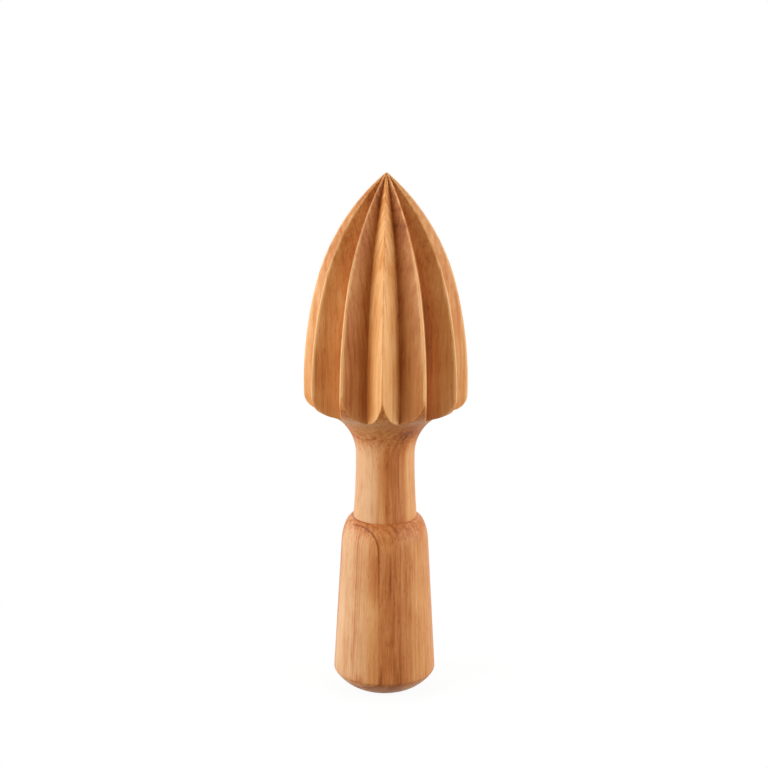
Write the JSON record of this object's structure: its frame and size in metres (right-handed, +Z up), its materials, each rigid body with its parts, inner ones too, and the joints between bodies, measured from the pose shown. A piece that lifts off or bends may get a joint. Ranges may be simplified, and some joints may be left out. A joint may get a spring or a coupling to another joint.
{
  "type": "citrus reamer",
  "caption": "Hand-held wooden lemon reamer with a pointed fluted head, a waisted neck and a tapered handle, joined by a hidden glued dowel.",
  "frame": {"origin": "centre of the flat foot that the reamer stands on", "axes": "+Z up along the turning axis to the tip; one ridge of the head points to -Y"},
  "size_m": [0.0526, 0.0526, 0.17],
  "materials": {
    "head_wood": "oiled satin fruitwood, fine straight grain",
    "handle_wood": "oiled satin fruitwood, fine straight grain",
    "dowel_wood": "raw beech"
  },
  "bodies": {
    "root": {"reamer_head": "head_wood", "handle": "handle_wood", "joint_dowel": "dowel_wood"}
  },
  "joints": []
}
